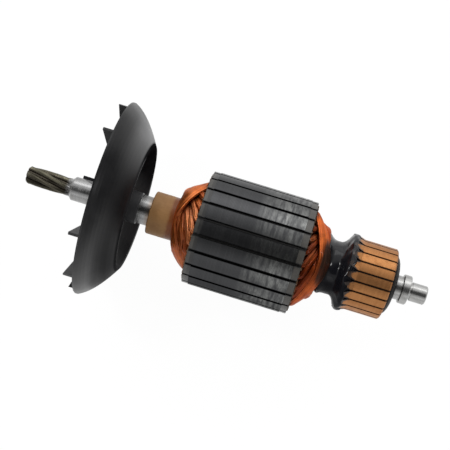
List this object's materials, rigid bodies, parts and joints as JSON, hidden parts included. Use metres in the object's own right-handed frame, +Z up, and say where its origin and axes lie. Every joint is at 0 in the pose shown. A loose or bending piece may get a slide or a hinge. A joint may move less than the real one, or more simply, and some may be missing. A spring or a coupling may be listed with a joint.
{
  "type": "motor armature",
  "caption": "Wound universal-motor armature: shaft with helical pinion, moulded cooling fan, slotted lamination stack with copper winding, and commutator.",
  "frame": {"origin": "on the shaft axis, in the middle of the drive-end bearing seat", "axes": "+X along the shaft axis from the pinion to the commutator, +Z up through a slot of the lamination stack"},
  "size_m": [0.154, 0.074, 0.074],
  "materials": {
    "steel": "ground and turned steel; the pinion is darker, phosphated and oiled",
    "fan_plastic": "black moulded plastic, semi-gloss",
    "sleeve_fibre": "tan phenolic paper tube, darker where the varnish has soaked in",
    "core_steel": "slate-grey coated laminations with worn, shiny patches",
    "end_plate_fibre": "grey-green fibre",
    "liner_paper": "pale insulating paper",
    "wedge_fibre": "dark varnished strip",
    "copper_wire": "enamelled copper wire under glossy varnish",
    "resin": "glossy black resin",
    "bar_copper": "turned copper, matt with fine turning lines",
    "moulding_phenolic": "black moulding compound"
  },
  "bodies": {
    "root": {"armature_shaft": "steel", "cooling_fan": "fan_plastic", "shaft_insulating_sleeve": "sleeve_fibre", "lamination_stack": "core_steel", "front_end_plate": "end_plate_fibre", "rear_end_plate": "end_plate_fibre", "slot_liners": "liner_paper", "armature_winding": "copper_wire", "lead_resin": "resin", "commutator_moulding": "moulding_phenolic", "commutator_bush": "steel", "spacer_collar": "steel", "slot_wedge_01": "wedge_fibre", "slot_wedge_02": "wedge_fibre", "slot_wedge_03": "wedge_fibre", "slot_wedge_04": "wedge_fibre", "slot_wedge_05": "wedge_fibre", "slot_wedge_06": "wedge_fibre", "slot_wedge_07": "wedge_fibre", "slot_wedge_08": "wedge_fibre", "slot_wedge_09": "wedge_fibre", "slot_wedge_10": "wedge_fibre", "slot_wedge_11": "wedge_fibre", "slot_wedge_12": "wedge_fibre", "slot_wedge_13": "wedge_fibre", "slot_wedge_14": "wedge_fibre", "slot_wedge_15": "wedge_fibre", "slot_wedge_16": "wedge_fibre", "slot_wedge_17": "wedge_fibre", "slot_wedge_18": "wedge_fibre", "slot_wedge_19": "wedge_fibre", "slot_wedge_20": "wedge_fibre", "slot_wedge_21": "wedge_fibre", "slot_wedge_22": "wedge_fibre", "commutator_bar_01": "bar_copper", "commutator_bar_02": "bar_copper", "commutator_bar_03": "bar_copper", "commutator_bar_04": "bar_copper", "commutator_bar_05": "bar_copper", "commutator_bar_06": "bar_copper", "commutator_bar_07": "bar_copper", "commutator_bar_08": "bar_copper", "commutator_bar_09": "bar_copper", "commutator_bar_10": "bar_copper", "commutator_bar_11": "bar_copper", "commutator_bar_12": "bar_copper", "commutator_bar_13": "bar_copper", "commutator_bar_14": "bar_copper", "commutator_bar_15": "bar_copper", "commutator_bar_16": "bar_copper", "commutator_bar_17": "bar_copper", "commutator_bar_18": "bar_copper", "commutator_bar_19": "bar_copper", "commutator_bar_20": "bar_copper", "commutator_bar_21": "bar_copper", "commutator_bar_22": "bar_copper"}
  },
  "joints": []
}
